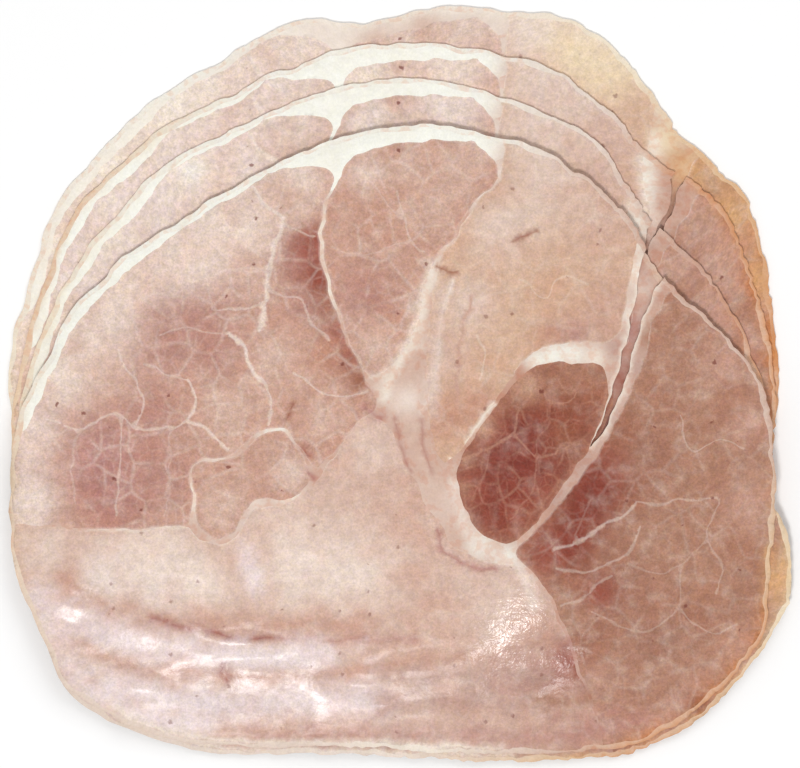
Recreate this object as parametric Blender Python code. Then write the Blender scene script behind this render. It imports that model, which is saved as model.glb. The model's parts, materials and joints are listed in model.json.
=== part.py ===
"""A fanned portion of sliced cooked ham: five thin slices, each an assembly of muscles, fat and rind.

Run with: blender --background --python part.py

Frame: +Z up, origin on the table at the middle of the portion, +Y towards the fanned edges.
Shapes are drawn in millimetres on the front slice, which is the top one, and carried to the other slices
by direction and share of the radius, because successive slices of one ham show the same muscles.
"""

import bmesh
import bpy
import numpy as np

MM = 0.001

# Driving dimensions, in millimetres.
SLICE_THICKNESS = 1.5
GAP = 0.3  # clearance between neighbouring pieces
PITCH = SLICE_THICKNESS + GAP  # rise from one slice to the next
RIND_WIDTH = 1.2
FLESH_INSET = RIND_WIDTH + GAP  # from a slice's outline to the flesh inside its rind

# Past the bottom slice's edge nothing carries the others, so they bend down towards the table.
DRAPE_BEND = 24.0  # run of the bend
DRAPE_SLOPE = 0.2  # slope after the bend
DRAPE_ROWS = np.arange(-88.0, -15.0, 6.0)  # lines along X where the plates can fold
DRAPE_COLUMNS = np.arange(-84.0, 85.0, 14.0)  # lines along Y where the plates can fold

CUTTER_REACH = 1.0  # how far a cutter passes a plate's faces

# Edge of the front slice: over the top from left to right, then below from left to right.
FRONT_UPPER_EDGE = [
    (-97.8, -30), (-97, -18), (-94.5, -6), (-90.5, 2), (-87, 9), (-82, 18.5), (-75, 25.5),
    (-66, 34.5), (-55, 40.5), (-45, 47.5), (-36, 52), (-27, 57), (-17, 60.8), (-7, 63.3),
    (3, 64.6), (13, 64.3), (22, 62), (33, 59.5), (43, 54), (52, 47), (58, 40), (62, 34),
    (67, 25.5), (75, 18), (84, 9), (90, 0), (93, -10), (93.7, -22), (93.5, -34),
]
FRONT_LOWER_EDGE = [
    (-97.3, -40), (-95.3, -50), (-91, -59), (-87.5, -68), (-84, -75), (-77, -80.5), (-66, -86),
    (-52, -90), (-36, -91), (-20, -90.7), (-4, -91.2), (12, -92.4), (28, -92.6), (44, -92),
    (57, -90.5), (67, -86.5), (76, -80), (83, -73), (88, -67), (91.7, -60), (92.3, -48),
]
HIDDEN_UPPER_EDGE = [
    (-95.5, -32), (-95, -18), (-92.5, -6), (-88.5, 2), (-85, 9), (-80, 18), (-73, 24), (-64, 31.5),
    (-53, 38), (-43, 45), (-34, 50), (-25, 54), (-15, 58), (-5, 60.5), (5, 61.5), (15, 61),
    (25, 59), (35, 56), (44, 51.5), (52, 44.5), (58, 37.5), (63, 30), (68, 22.5), (76, 15),
    (84, 7), (88.5, -2), (90.5, -12), (91.5, -22), (93.5, -30), (97, -37), (98.2, -46),
    (97.6, -54), (94.5, -61),
]
THIRD_UPPER_EDGE = [
    (-95.5, -8), (-93, 3), (-90.5, 11), (-87, 19), (-82, 28.5), (-76, 37), (-69, 44.5),
    (-62, 52.5), (-53, 58.5), (-43, 63), (-34, 67.5), (-25, 71), (-15, 74.5), (-5, 76),
    (6, 76.4), (15, 75.2), (24, 72.3), (33, 69), (43, 64.8), (52, 57.5), (57, 49.5),
    (61.5, 43), (66, 38), (73, 31.5), (79, 25), (84, 16.5), (88.5, 7), (91.5, -4), (93, -14),
]
SECOND_UPPER_EDGE = [
    (-97, -8), (-95.5, 2), (-93, 13), (-89.5, 25), (-85, 36.5), (-79, 46.5), (-71, 54),
    (-63, 61.5), (-53, 67.5), (-43, 72), (-34, 77), (-25, 80), (-15, 84), (-4, 85),
    (8, 85.3), (18, 84), (28, 82), (37, 79.5), (46, 73.8), (54, 67), (60.5, 60), (66, 55),
    (74, 50.3), (81, 43.5), (86, 33), (90, 21.5), (93, 9), (94.5, -4),
]
BOTTOM_UPPER_EDGE = [
    (-98.2, 3), (-96.5, 14), (-93, 25), (-89.5, 37), (-85, 46.5), (-77, 56), (-68, 66),
    (-58, 73.5), (-48, 79.5), (-39, 85), (-31, 89.5), (-22, 91.5), (-11, 90.6), (-3, 91.8),
    (7, 94), (19, 94.6), (29, 93), (38, 93.2), (47, 89), (56, 82), (63, 73), (71, 62),
    (80, 54), (86.5, 47), (90.5, 36), (93, 22), (94.8, 6), (94.5, -6),
]

# Muscles of the front slice. Points past its edge let a muscle run out to the rind.
MUSCLES = {
    "left_muscle": [
        (-18, 52), (-27, 53.3), (-36, 49), (-45, 44), (-54.5, 37.8), (-63.5, 31.5), (-72.5, 23),
        (-80.5, 14), (-85.3, 4.5), (-89, -3), (-92.5, -11), (-101, -16), (-103, -34.8),
        (-85, -34.5), (-75, -35.5), (-62, -35), (-54, -34.5), (-52.8, -28), (-52.8, -21),
        (-50, -18.3), (-44, -17.5), (-40, -15), (-36, -11.5), (-32, -10.3), (-27.5, -11),
        (-24.5, -15.5), (-21, -20), (-17, -16), (-12, -10), (-7, -5), (-8, -1), (-11, 5),
        (-14, 11), (-17, 19), (-19.8, 28), (-21, 36), (-20, 44),
    ],
    "inner_muscle": [
        (-50.3, -20.8), (-44, -19.5), (-39, -17.4), (-35, -13.8), (-30, -12.5), (-27, -15),
        (-24.5, -20), (-23.5, -24), (-29, -28.5), (-36, -28), (-39, -31), (-42, -36), (-46, -37.5),
        (-49, -36), (-50.3, -30),
    ],
    "top_muscle": [
        (-14.5, 51.5), (-11, 55.8), (-5, 58.3), (5, 59.8), (14, 60), (19.5, 58.5), (23.5, 54.5),
        (22.5, 50), (18.5, 46.5), (15.5, 42), (12, 36.5), (8.5, 32.5), (6.3, 28), (4.5, 20),
        (2, 12), (-3, 5), (-6.5, 3), (-9, 4.5), (-12.3, 12), (-15.3, 21), (-17.8, 31),
        (-18.3, 39), (-17, 46),
    ],
    "centre_muscle": [
        (27.5, 68), (44, 62), (56, 52), (64, 43), (59.5, 38), (58.3, 33), (57.3, 28), (56, 20),
        (54.5, 14), (52, 11), (44, 10.8), (36, 9.5), (31, 6.5), (27, 1.2), (22, -5.4), (17.7, -11.4),
        (14.6, -16.4), (11.5, -19), (8.5, -13), (7.5, -5), (7, 5), (8, 16), (9.3, 26),
        (10.4, 31.5), (13.8, 36), (17.3, 41.5), (20.4, 46), (24.7, 50), (26, 55),
    ],
    "eye_muscle": [
        (33, 3.2), (42, 4.6), (50, 3.2), (51, -4), (49, -10), (46.4, -16), (42.3, -22),
        (37.5, -28.5), (32.3, -35), (27, -38.8), (21, -37), (17, -31), (15, -24.5), (16, -18.5),
        (19, -13.5), (23, -8), (28, -1.5),
    ],
    "right_muscle": [
        (70.5, 27), (90, 14), (101, -5), (101, -50), (98, -67), (85, -82), (70, -94), (54, -98),
        (50.5, -86), (48.3, -78), (44.5, -68), (40.5, -58), (35.5, -49), (29.8, -42.6),
        (34, -37.3), (40, -30.3), (45.2, -24), (50, -17), (54, -10.5), (57, -4), (59.6, 2),
        (62, 9), (64, 17), (66.8, 21.5),
    ],
    "lower_muscle": [
        (-103, -37), (-85, -36.3), (-75, -37.2), (-62, -36.7), (-53, -36.3), (-50, -39.2), (-44, -40),
        (-40, -37.5), (-37, -32), (-30, -31), (-22, -26.5), (-17.5, -20), (-13, -13),
        (-8, -8.5), (-3.5, -10.5), (-0.5, -18), (4, -26), (8.5, -34), (13.5, -41), (21, -44.5),
        (29.5, -46.2), (35.2, -52), (39.3, -59.5), (43.2, -69), (46.9, -79), (49.1, -87), (50, -99),
        (10, -102), (-40, -100), (-82, -92), (-100, -66),
    ],
}

# Zone of the outer fat, from the muscles' tips at the right, over the top, down the left side.
CAP_ZONE = [
    (-107, -14), (-110, 30), (-85, 80), (0, 105), (36, 92), (34, 60), (26, 56.5), (16, 52),
    (-8, 50), (-16.5, 49), (-25, 46), (-45, 36), (-62, 20), (-80, -2), (-87, -14),
]

# Natural opening where the flesh has parted along the fat between the centre and the right muscles.
SPLIT = [
    (72, 46), (61.8, 34.5), (60, 29), (58.8, 22), (57.4, 14), (55.6, 7), (53.6, 1), (51.6, -6),
    (49.4, -12), (47.4, -16), (50.2, -13), (52.6, -8), (54.6, -3), (56.6, 2.5), (58.6, 9),
    (60.6, 16), (62.6, 21.5), (65.4, 26), (76, 38),
]

MATERIALS = {  # base colour, roughness
    "rose_lean": ((0.56, 0.31, 0.26), 0.32),
    "pale_lean": ((0.68, 0.49, 0.39), 0.32),
    "dark_lean": ((0.30, 0.085, 0.06), 0.3),
    "fat": ((0.86, 0.81, 0.72), 0.38),
    "rind": ((0.55, 0.30, 0.14), 0.45),
}
MUSCLE_MATERIAL = {
    "left_muscle": "rose_lean",
    "inner_muscle": "rose_lean",
    "top_muscle": "rose_lean",
    "centre_muscle": "pale_lean",
    "eye_muscle": "dark_lean",
    "right_muscle": "rose_lean",
    "lower_muscle": "pale_lean",
}


def moved(points, shift):
    """The points, all moved by the shift."""
    return [(x + shift[0], y + shift[1]) for x, y in points]


class Slice:
    """One slice: its level in the pile, and its edge as a radius for each direction from its centre."""

    def __init__(self, level, upper_edge, lower_edge, is_split):
        edge = np.array(upper_edge + lower_edge, float)
        self.name = f"slice_{level + 1}"
        self.rise = level * PITCH
        self.is_split = is_split
        self.centre = (edge.min(0) + edge.max(0)) / 2
        arms = edge - self.centre
        directions = np.arctan2(arms[:, 1], arms[:, 0])
        order = np.argsort(directions)
        self.directions = directions[order]
        self.radii = np.hypot(arms[:, 0], arms[:, 1])[order]

    def radius(self, directions):
        return np.interp(directions, self.directions, self.radii, period=2 * np.pi)

    def polar(self, points):
        """Direction and distance of the points from the centre."""
        arms = np.asarray(points, float) - self.centre
        return np.arctan2(arms[:, 1], arms[:, 0]), np.hypot(arms[:, 0], arms[:, 1])

    def place(self, directions, reach):
        """Points at those directions and distances from the centre."""
        return self.centre + np.column_stack((np.cos(directions), np.sin(directions))) * reach[:, None]

    def edge(self):
        """The slice's outline, anticlockwise."""
        return self.place(self.directions, self.radii)


FRONT = Slice(4, FRONT_UPPER_EDGE, FRONT_LOWER_EDGE, True)
SLICES = [
    Slice(0, BOTTOM_UPPER_EDGE, moved(FRONT_LOWER_EDGE, (0, 30)), False),
    Slice(1, SECOND_UPPER_EDGE, moved(FRONT_LOWER_EDGE, (0, 21)), True),
    Slice(2, THIRD_UPPER_EDGE, moved(FRONT_LOWER_EDGE, (0, 11.5)), True),
    Slice(3, HIDDEN_UPPER_EDGE, moved(FRONT_LOWER_EDGE[:-2], (1, -2)), False),  # almost hidden by the front
    FRONT,
]


def carried(points, ham_slice):
    """Points drawn on the front slice, at their places on another slice."""
    directions, reach = FRONT.polar(points)
    share = reach / FRONT.radius(directions)
    return ham_slice.place(directions, share * ham_slice.radius(directions))


def grown(loop, distance):
    """The closed loop, turned anticlockwise, with every side moved outwards by the distance."""
    loop = np.asarray(loop, float)
    ahead = np.roll(loop, -1, 0)
    if np.sum(loop[:, 0] * ahead[:, 1] - ahead[:, 0] * loop[:, 1]) < 0:
        loop = loop[::-1]
        ahead = np.roll(loop, -1, 0)
    sides = ahead - loop
    outward = np.column_stack((sides[:, 1], -sides[:, 0])) / np.hypot(sides[:, 0], sides[:, 1])[:, None]
    before = np.roll(outward, 1, 0)
    turn = np.maximum(1 + np.sum(outward * before, 1), 0.5)
    return loop + distance * (outward + before) / turn[:, None]


def drop(points):
    """How far a slice hangs below its level at the points, past the bottom slice's edge."""
    bottom = SLICES[0]
    directions, reach = bottom.polar(points)
    past = np.maximum(reach - bottom.radius(directions), 0)
    bent = np.minimum(past, DRAPE_BEND)
    return DRAPE_SLOPE * (bent**2 / (2 * DRAPE_BEND) + past - bent)


def plate(name, loop, ham_slice, low=0.0, high=SLICE_THICKNESS):
    """A flat object of that outline, drawn about the slice's centre."""
    form = bmesh.new()
    corners = [form.verts.new((x * MM, y * MM, low * MM)) for x, y in grown(loop, 0) - ham_slice.centre]
    base = form.faces.new(corners)
    raised = bmesh.ops.extrude_face_region(form, geom=[base])["geom"]
    tops = [item for item in raised if isinstance(item, bmesh.types.BMVert)]
    bmesh.ops.translate(form, verts=tops, vec=(0, 0, (high - low) * MM))
    bmesh.ops.recalc_face_normals(form, faces=form.faces)
    mesh = bpy.data.meshes.new(name)
    form.to_mesh(mesh)
    form.free()
    piece = bpy.data.objects.new(name, mesh)
    bpy.context.scene.collection.objects.link(piece)
    return piece


def carve(piece, ham_slice, operation, loops):
    """Cuts the piece with an upright cutter of each outline, by exact Booleans."""
    cutters = []
    for loop in loops:
        cutter = plate("cutter", loop, ham_slice, -CUTTER_REACH, SLICE_THICKNESS + CUTTER_REACH)
        modifier = piece.modifiers.new("carve", "BOOLEAN")
        modifier.operation = operation
        modifier.solver = "EXACT"
        modifier.object = cutter
        cutters.append(cutter)
    bpy.context.view_layer.update()
    graph = bpy.context.evaluated_depsgraph_get()
    piece.data = bpy.data.meshes.new_from_object(piece.evaluated_get(graph))
    piece.modifiers.clear()
    for cutter in cutters:
        bpy.data.objects.remove(cutter)


def drape(piece, ham_slice):
    """Folds the plate down where the pile doesn't carry it."""
    form = bmesh.new()
    form.from_mesh(piece.data)
    centre_x, centre_y = ham_slice.centre
    lines = [((0, (y - centre_y) * MM, 0), (0, 1, 0)) for y in DRAPE_ROWS]
    lines += [(((x - centre_x) * MM, 0, 0), (1, 0, 0)) for x in DRAPE_COLUMNS]
    for point, normal in lines:
        hanging = [face for face in form.faces if face_hangs(face, ham_slice)]
        around = {edge for face in hanging for edge in face.edges}
        around |= {vert for face in hanging for vert in face.verts}
        bmesh.ops.bisect_plane(form, geom=[*hanging, *around], dist=1e-6, plane_co=point, plane_no=normal)
    places = np.array([vert.co[:2] for vert in form.verts]) / MM + ham_slice.centre
    for vert, fall in zip(form.verts, drop(places), strict=True):
        vert.co.z -= fall * MM
    bmesh.ops.triangulate(form, faces=form.faces)
    form.to_mesh(piece.data)
    form.free()


def face_hangs(face, ham_slice):
    """True if any corner of the face lies past the bottom slice's edge."""
    corners = np.array([vert.co[:2] for vert in face.verts]) / MM + ham_slice.centre
    return drop(corners).max() > 0


def make_materials():
    made = {}
    for name, (colour, roughness) in MATERIALS.items():
        material = bpy.data.materials.new(name)
        material.use_nodes = True
        shader = material.node_tree.nodes["Principled BSDF"]
        shader.inputs["Base Color"].default_value = (*colour, 1)
        shader.inputs["Roughness"].default_value = roughness
        shader.inputs["Metallic"].default_value = 0
        made[name] = material
    return made


def make_muscle(name, ham_slice, flesh_edge):
    """One muscle, trimmed where it meets the rind."""
    piece = plate(f"{ham_slice.name}_{name}", carried(MUSCLES[name], ham_slice), ham_slice)
    carve(piece, ham_slice, "INTERSECT", [flesh_edge])
    return piece


def make_fat_cap(ham_slice, flesh_edge):
    """The crescent of outer fat, laid against the left and top muscles."""
    piece = plate(f"{ham_slice.name}_fat_cap", flesh_edge, ham_slice)
    carve(piece, ham_slice, "INTERSECT", [carried(CAP_ZONE, ham_slice)])
    carve(piece, ham_slice, "DIFFERENCE", muscle_room(ham_slice))
    return piece


def make_seam_fat(ham_slice, flesh_edge):
    """The web of fat and connective tissue that fills the seams between the muscles."""
    piece = plate(f"{ham_slice.name}_seam_fat", flesh_edge, ham_slice)
    openings = [grown(carried(CAP_ZONE, ham_slice), GAP), *muscle_room(ham_slice)]
    if ham_slice.is_split:
        openings.append(carried(SPLIT, ham_slice))
    carve(piece, ham_slice, "DIFFERENCE", openings)
    return piece


def make_rind(ham_slice):
    """The browned outer skin, a thin ring that is open where the flesh has parted."""
    piece = plate(f"{ham_slice.name}_rind", ham_slice.edge(), ham_slice)
    openings = [grown(ham_slice.edge(), -RIND_WIDTH)]
    if ham_slice.is_split:
        openings.append(carried(SPLIT, ham_slice))
    carve(piece, ham_slice, "DIFFERENCE", openings)
    return piece


def muscle_room(ham_slice):
    """The room that the muscles take in the fat, each with its clearance."""
    return [grown(carried(points, ham_slice), GAP) for points in MUSCLES.values()]


def make_slice(ham_slice, materials):
    """Makes all pieces of a slice, on an empty at the middle of its underside."""
    carrier = bpy.data.objects.new(f"{ham_slice.name}_carrier", None)
    carrier.location = (ham_slice.centre[0] * MM, ham_slice.centre[1] * MM, ham_slice.rise * MM)
    bpy.context.scene.collection.objects.link(carrier)
    flesh_edge = grown(ham_slice.edge(), -FLESH_INSET)
    pieces = {make_muscle(name, ham_slice, flesh_edge): MUSCLE_MATERIAL[name] for name in MUSCLES}
    pieces[make_fat_cap(ham_slice, flesh_edge)] = "fat"
    pieces[make_seam_fat(ham_slice, flesh_edge)] = "fat"
    pieces[make_rind(ham_slice)] = "rind"
    for piece, material in pieces.items():
        drape(piece, ham_slice)
        piece.data.materials.clear()
        piece.data.materials.append(materials[material])
        piece.parent = carrier


def main():
    for old in list(bpy.data.objects):
        bpy.data.objects.remove(old)
    materials = make_materials()
    for ham_slice in SLICES:
        make_slice(ham_slice, materials)


main()
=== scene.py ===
"""The looks of a fanned portion of sliced cooked ham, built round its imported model.

Every slice is one cross-section of the same ham. A fine flat mesh of the front slice is made once, with the
borders of its muscles and the lines of its veins as mesh edges. It is carried to each slice by direction and
share of the radius, laid over the pile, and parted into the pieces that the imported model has.
Flat places are in millimetres, in the model's own frame.
"""

import json
import math

import bpy
import numpy as np
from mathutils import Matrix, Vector, geometry, kdtree

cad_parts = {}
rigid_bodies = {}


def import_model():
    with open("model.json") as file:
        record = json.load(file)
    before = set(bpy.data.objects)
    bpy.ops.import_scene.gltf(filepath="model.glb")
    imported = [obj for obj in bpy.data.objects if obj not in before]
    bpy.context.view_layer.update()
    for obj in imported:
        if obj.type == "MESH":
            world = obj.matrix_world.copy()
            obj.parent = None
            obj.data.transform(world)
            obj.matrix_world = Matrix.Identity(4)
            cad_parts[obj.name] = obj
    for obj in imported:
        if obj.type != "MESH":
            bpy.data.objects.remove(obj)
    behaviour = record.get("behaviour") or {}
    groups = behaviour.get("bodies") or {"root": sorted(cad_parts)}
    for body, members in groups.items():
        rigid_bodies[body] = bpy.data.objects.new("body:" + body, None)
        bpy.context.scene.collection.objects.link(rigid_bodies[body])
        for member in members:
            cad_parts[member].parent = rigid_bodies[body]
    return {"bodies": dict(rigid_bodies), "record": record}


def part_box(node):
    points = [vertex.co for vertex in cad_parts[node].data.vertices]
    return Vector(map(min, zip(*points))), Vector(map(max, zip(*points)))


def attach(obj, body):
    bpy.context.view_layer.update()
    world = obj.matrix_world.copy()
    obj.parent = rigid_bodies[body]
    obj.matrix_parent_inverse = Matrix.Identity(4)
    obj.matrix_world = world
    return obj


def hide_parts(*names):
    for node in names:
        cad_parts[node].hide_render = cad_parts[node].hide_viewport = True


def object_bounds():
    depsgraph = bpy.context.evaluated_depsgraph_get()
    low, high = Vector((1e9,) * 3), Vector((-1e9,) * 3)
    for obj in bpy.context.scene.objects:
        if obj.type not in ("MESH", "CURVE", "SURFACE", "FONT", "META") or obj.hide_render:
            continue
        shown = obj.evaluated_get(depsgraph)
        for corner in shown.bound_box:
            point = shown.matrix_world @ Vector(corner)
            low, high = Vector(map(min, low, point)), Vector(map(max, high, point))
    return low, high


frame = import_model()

CAD_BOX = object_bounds()
MM = 0.001
SEED = 11

SLICE_NAMES = sorted(frame["bodies"])
LEVEL_BOXES = [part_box(f"{name}_top_muscle") for name in SLICE_NAMES]
RISES = [low[2] / MM for low, high in LEVEL_BOXES]
SLICE_THICKNESS = (LEVEL_BOXES[0][1][2] - LEVEL_BOXES[0][0][2]) / MM

# The pile bends down past the bottom slice's edge, as its solids do.
DRAPE_BEND = 24.0
DRAPE_SLOPE = 0.2
LEAST_RISE = 0.03  # no underside hangs lower than this
SAG = 0.45  # how far the front slice's edge hangs past the slice beneath it
LEAST_SWAY = -0.12  # keeps each slice clear of the one beneath it
SWAY_BLEND = 0.02  # how softly the sway meets that limit
STEP_DEPTHS = (0.8, 1.0, 1.0)  # how far the upper slices dip where each lower slice ends
EDGE_ROUNDING = 0.7
EDGE_REACH = 1.3  # how far in the rounding of an edge reaches
CROWN = 0.1  # how far a muscle stands above its seams
MOST_TEAR = 0.35  # no ragged edge goes further out than this
SHARP_ANGLE = math.radians(55)

# Mesh sizes.
GRID_STEP = 1.25
BORDER_STEP = 1.1
CLEAR_OF_BORDER = 0.55
MESHED_BAND = 1  # bands up to this half width get mesh edges of their own
MUSCLE_GROWTH = 0.45  # takes up the clearance that the solids keep
CLOSER_GROWTH = {"left_muscle": 0.75, "inner_muscle": 0.7, "top_muscle": 0.8, "eye_muscle": 0.7}
RIND_WIDTH = 1.15

# Soft random fields, as sums of waves: about how long, seed, strength.
FIELDS = {
    "border_x": [(7, 1, 0.22), (3, 3, 0.09)],
    "border_y": [(7, 2, 0.22), (3, 4, 0.09)],
    "rind_width": [(9, 5, 0.25)],
    "step_place": [(45, 20, 1.6)],
    "step_strength": [(30, 21, 0.35)],
    "sway": [(38, 30, 0.08), (17, 31, 0.04)],
    "edge": [(9, 40, 0.24)],
    "tear": [(2.2, 50, 1.0)],
    "face": [(5, 60, 0.02)],
    "rind_depth": [(12, 70, 0.5)],
    "band_edge": [(3, 80, 0.12), (9, 81, 0.2)],
}
WAVES_IN_A_SUM = 14

# Surface detail.
STROKE_STRENGTH = 0.9
BAND_STRENGTH = 0.85
RIND_STRENGTH = 0.85
BUMP_STRENGTH = 0.6
BUMP_DEPTH = 0.0008  # in metres
CLEAN_FAT = 5.0  # keeps the mottling of the seams out of the fat cap
SPECK_DENSITY = 0.14  # cells of dark specks in a millimetre
TEXTURE_STEP = 2.2  # how far apart two slices cut the solid textures
LEAST_WETNESS = 0.12
LEAST_BEADS = 0.09
MORE_BEADS = 0.32  # how much more there is in the middle of the beaded patch

# Stage: light places, sizes and strengths, in metres and watts.
LIGHTS = [("key", (-0.14, -0.5, 1.38), 0.26, 9.8), ("fill", (0.5, 1.0, 1.2), 1.0, 6.8)]
SURROUNDINGS = 0.5
FLOOR_REACH = 3.0
FLOOR_GAP = 0.0001
CAMERA_HEIGHT = 1.5
VIEW_WIDTH = 0.2
SENSOR_WIDTH = 36

# -------------------- outlines, from the solids' own design

FRONT_UPPER_EDGE = [
    (-97.8, -30), (-97, -18), (-94.5, -6), (-90.5, 2), (-87, 9), (-82, 18.5), (-75, 25.5), (-66, 34.5),
    (-55, 40.5), (-45, 47.5), (-36, 52), (-27, 57), (-17, 60.8), (-7, 63.3), (3, 64.6), (13, 64.3),
    (22, 62), (33, 59.5), (43, 54), (52, 47), (58, 40), (62, 34), (67, 25.5), (75, 18), (84, 9), (90, 0),
    (93, -10), (93.7, -22), (93.5, -34),
]
FRONT_LOWER_EDGE = [
    (-97.3, -40), (-95.3, -50), (-91, -59), (-87.5, -68), (-84, -75), (-77, -80.5), (-66, -86), (-52, -90),
    (-36, -91), (-20, -90.7), (-4, -91.2), (12, -92.4), (28, -92.6), (44, -92), (57, -90.5), (67, -86.5),
    (76, -80), (83, -73), (88, -67), (91.7, -60), (92.3, -48),
]
HIDDEN_UPPER_EDGE = [
    (-95.5, -32), (-95, -18), (-92.5, -6), (-88.5, 2), (-85, 9), (-80, 18), (-73, 24), (-64, 31.5),
    (-53, 38), (-43, 45), (-34, 50), (-25, 54), (-15, 58), (-5, 60.5), (5, 61.5), (15, 61), (25, 59),
    (35, 56), (44, 51.5), (52, 44.5), (58, 37.5), (63, 30), (68, 22.5), (76, 15), (84, 7), (88.5, -2),
    (90.5, -12), (91.5, -22), (93.5, -30), (97, -37), (98.2, -46), (97.6, -54), (94.5, -61),
]
THIRD_UPPER_EDGE = [
    (-95.5, -8), (-93, 3), (-90.5, 11), (-87, 19), (-82, 28.5), (-76, 37), (-69, 44.5), (-62, 52.5),
    (-53, 58.5), (-43, 63), (-34, 67.5), (-25, 71), (-15, 74.5), (-5, 76), (6, 76.4), (15, 75.2),
    (24, 72.3), (33, 69), (43, 64.8), (52, 57.5), (57, 49.5), (61.5, 43), (66, 38), (73, 31.5), (79, 25),
    (84, 16.5), (88.5, 7), (91.5, -4), (93, -14),
]
SECOND_UPPER_EDGE = [
    (-97, -8), (-95.5, 2), (-93, 13), (-89.5, 25), (-85, 36.5), (-79, 46.5), (-71, 54), (-63, 61.5),
    (-53, 67.5), (-43, 72), (-34, 77), (-25, 80), (-15, 84), (-4, 85), (8, 85.3), (18, 84), (28, 82),
    (37, 79.5), (46, 73.8), (54, 67), (60.5, 60), (66, 55), (74, 50.3), (81, 43.5), (86, 33), (90, 21.5),
    (93, 9), (94.5, -4),
]
BOTTOM_UPPER_EDGE = [
    (-98.2, 3), (-96.5, 14), (-93, 25), (-89.5, 37), (-85, 46.5), (-77, 56), (-68, 66), (-58, 73.5),
    (-48, 79.5), (-39, 85), (-31, 89.5), (-22, 91.5), (-11, 90.6), (-3, 91.8), (7, 94), (19, 94.6),
    (29, 93), (38, 93.2), (47, 89), (56, 82), (63, 73), (71, 62), (80, 54), (86.5, 47), (90.5, 36),
    (93, 22), (94.8, 6), (94.5, -6),
]
SLIT_SLICES = ("slice_2", "slice_3")

MUSCLES = {
    "left_muscle": [
        (-18, 52), (-27, 53.3), (-36, 49), (-45, 44), (-54.5, 37.8), (-63.5, 31.5), (-72.5, 23),
        (-80.5, 14), (-85.3, 4.5), (-89, -3), (-92.5, -11), (-101, -16), (-103, -34.8), (-85, -34.5),
        (-75, -35.5), (-62, -35), (-54, -34.5), (-52.8, -28), (-52.8, -21), (-50, -18.3), (-44, -17.5),
        (-40, -15), (-36, -11.5), (-32, -10.3), (-27.5, -11), (-24.5, -15.5), (-21, -20), (-17, -16),
        (-12, -10), (-7, -5), (-8, -1), (-11, 5), (-14, 11), (-17, 19), (-19.8, 28), (-21, 36), (-20, 44),
    ],
    "inner_muscle": [
        (-50.3, -20.8), (-44, -19.5), (-39, -17.4), (-35, -13.8), (-30, -12.5), (-27, -15), (-24.5, -20),
        (-23.5, -24), (-29, -28.5), (-36, -28), (-39, -31), (-42, -36), (-46, -37.5), (-49, -36),
        (-50.3, -30),
    ],
    "top_muscle": [
        (-14.5, 51.5), (-11, 55.8), (-5, 58.3), (5, 59.8), (14, 60), (19.5, 58.5), (23.5, 54.5), (22.5, 50),
        (18.5, 46.5), (15.5, 42), (12, 36.5), (8.5, 32.5), (6.3, 28), (4.5, 20), (2, 12), (-3, 5),
        (-6.5, 3), (-9, 4.5), (-12.3, 12), (-15.3, 21), (-17.8, 31), (-18.3, 39), (-17, 46),
    ],
    "centre_muscle": [
        (27.5, 68), (44, 62), (56, 52), (64, 43), (59.5, 38), (58.3, 33), (57.3, 28), (56, 20), (54.5, 14),
        (52, 11), (44, 10.8), (36, 9.5), (31, 6.5), (27, 1.2), (22, -5.4), (17.7, -11.4), (14.6, -16.4),
        (11.5, -19), (8.5, -13), (7.5, -5), (7, 5), (8, 16), (9.3, 26), (10.4, 31.5), (13.8, 36),
        (17.3, 41.5), (20.4, 46), (24.7, 50), (26, 55),
    ],
    "eye_muscle": [
        (33, 3.2), (42, 4.6), (50, 3.2), (51, -4), (49, -10), (46.4, -16), (42.3, -22), (37.5, -28.5),
        (32.3, -35), (27, -38.8), (21, -37), (17, -31), (15, -24.5), (16, -18.5), (19, -13.5), (23, -8),
        (28, -1.5),
    ],
    "right_muscle": [
        (70.5, 27), (90, 14), (101, -5), (101, -50), (98, -67), (85, -82), (70, -94), (54, -98),
        (50.5, -86), (48.3, -78), (44.5, -68), (40.5, -58), (35.5, -49), (29.8, -42.6), (34, -37.3),
        (40, -30.3), (45.2, -24), (50, -17), (54, -10.5), (57, -4), (59.6, 2), (62, 9), (64, 17),
        (66.8, 21.5),
    ],
    "lower_muscle": [
        (-103, -37), (-85, -36.3), (-75, -37.2), (-62, -36.7), (-53, -36.3), (-50, -39.2), (-44, -40),
        (-40, -37.5), (-37, -32), (-30, -31), (-22, -26.5), (-17.5, -20), (-13, -13), (-8, -8.5),
        (-3.5, -10.5), (-0.5, -18), (4, -26), (8.5, -34), (13.5, -41), (21, -44.5), (29.5, -46.2),
        (35.2, -52), (39.3, -59.5), (43.2, -69), (46.9, -79), (49.1, -87), (50, -99), (10, -102),
        (-40, -100), (-82, -92), (-100, -66),
    ],
}
CAP_ZONE = [
    (-107, -14), (-110, 30), (-85, 80), (0, 105), (36, 92), (34, 60), (26, 56.5), (16, 52), (-8, 50),
    (-16.5, 49), (-25, 46), (-45, 36), (-62, 20), (-80, -2), (-87, -14),
]
SPLIT = [
    (72, 46), (61.8, 34.5), (60, 29), (58.8, 22), (57.4, 14), (55.6, 7), (53.6, 1), (51.6, -6), (49.4, -12),
    (47.4, -16), (50.2, -13), (52.6, -8), (54.6, -3), (56.6, 2.5), (58.6, 9), (60.6, 16), (62.6, 21.5),
    (65.4, 26), (76, 38),
]

# A narrower slit, for the lower slices, where the cut hangs almost closed.
SLIT = [
    (76, 44), (68.5, 31), (64.6, 26.5), (62, 22), (60, 16.5), (58, 10), (57, 10.4), (59, 17), (61.2, 23),
    (63.4, 28), (66, 32), (72, 44),
]

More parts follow.
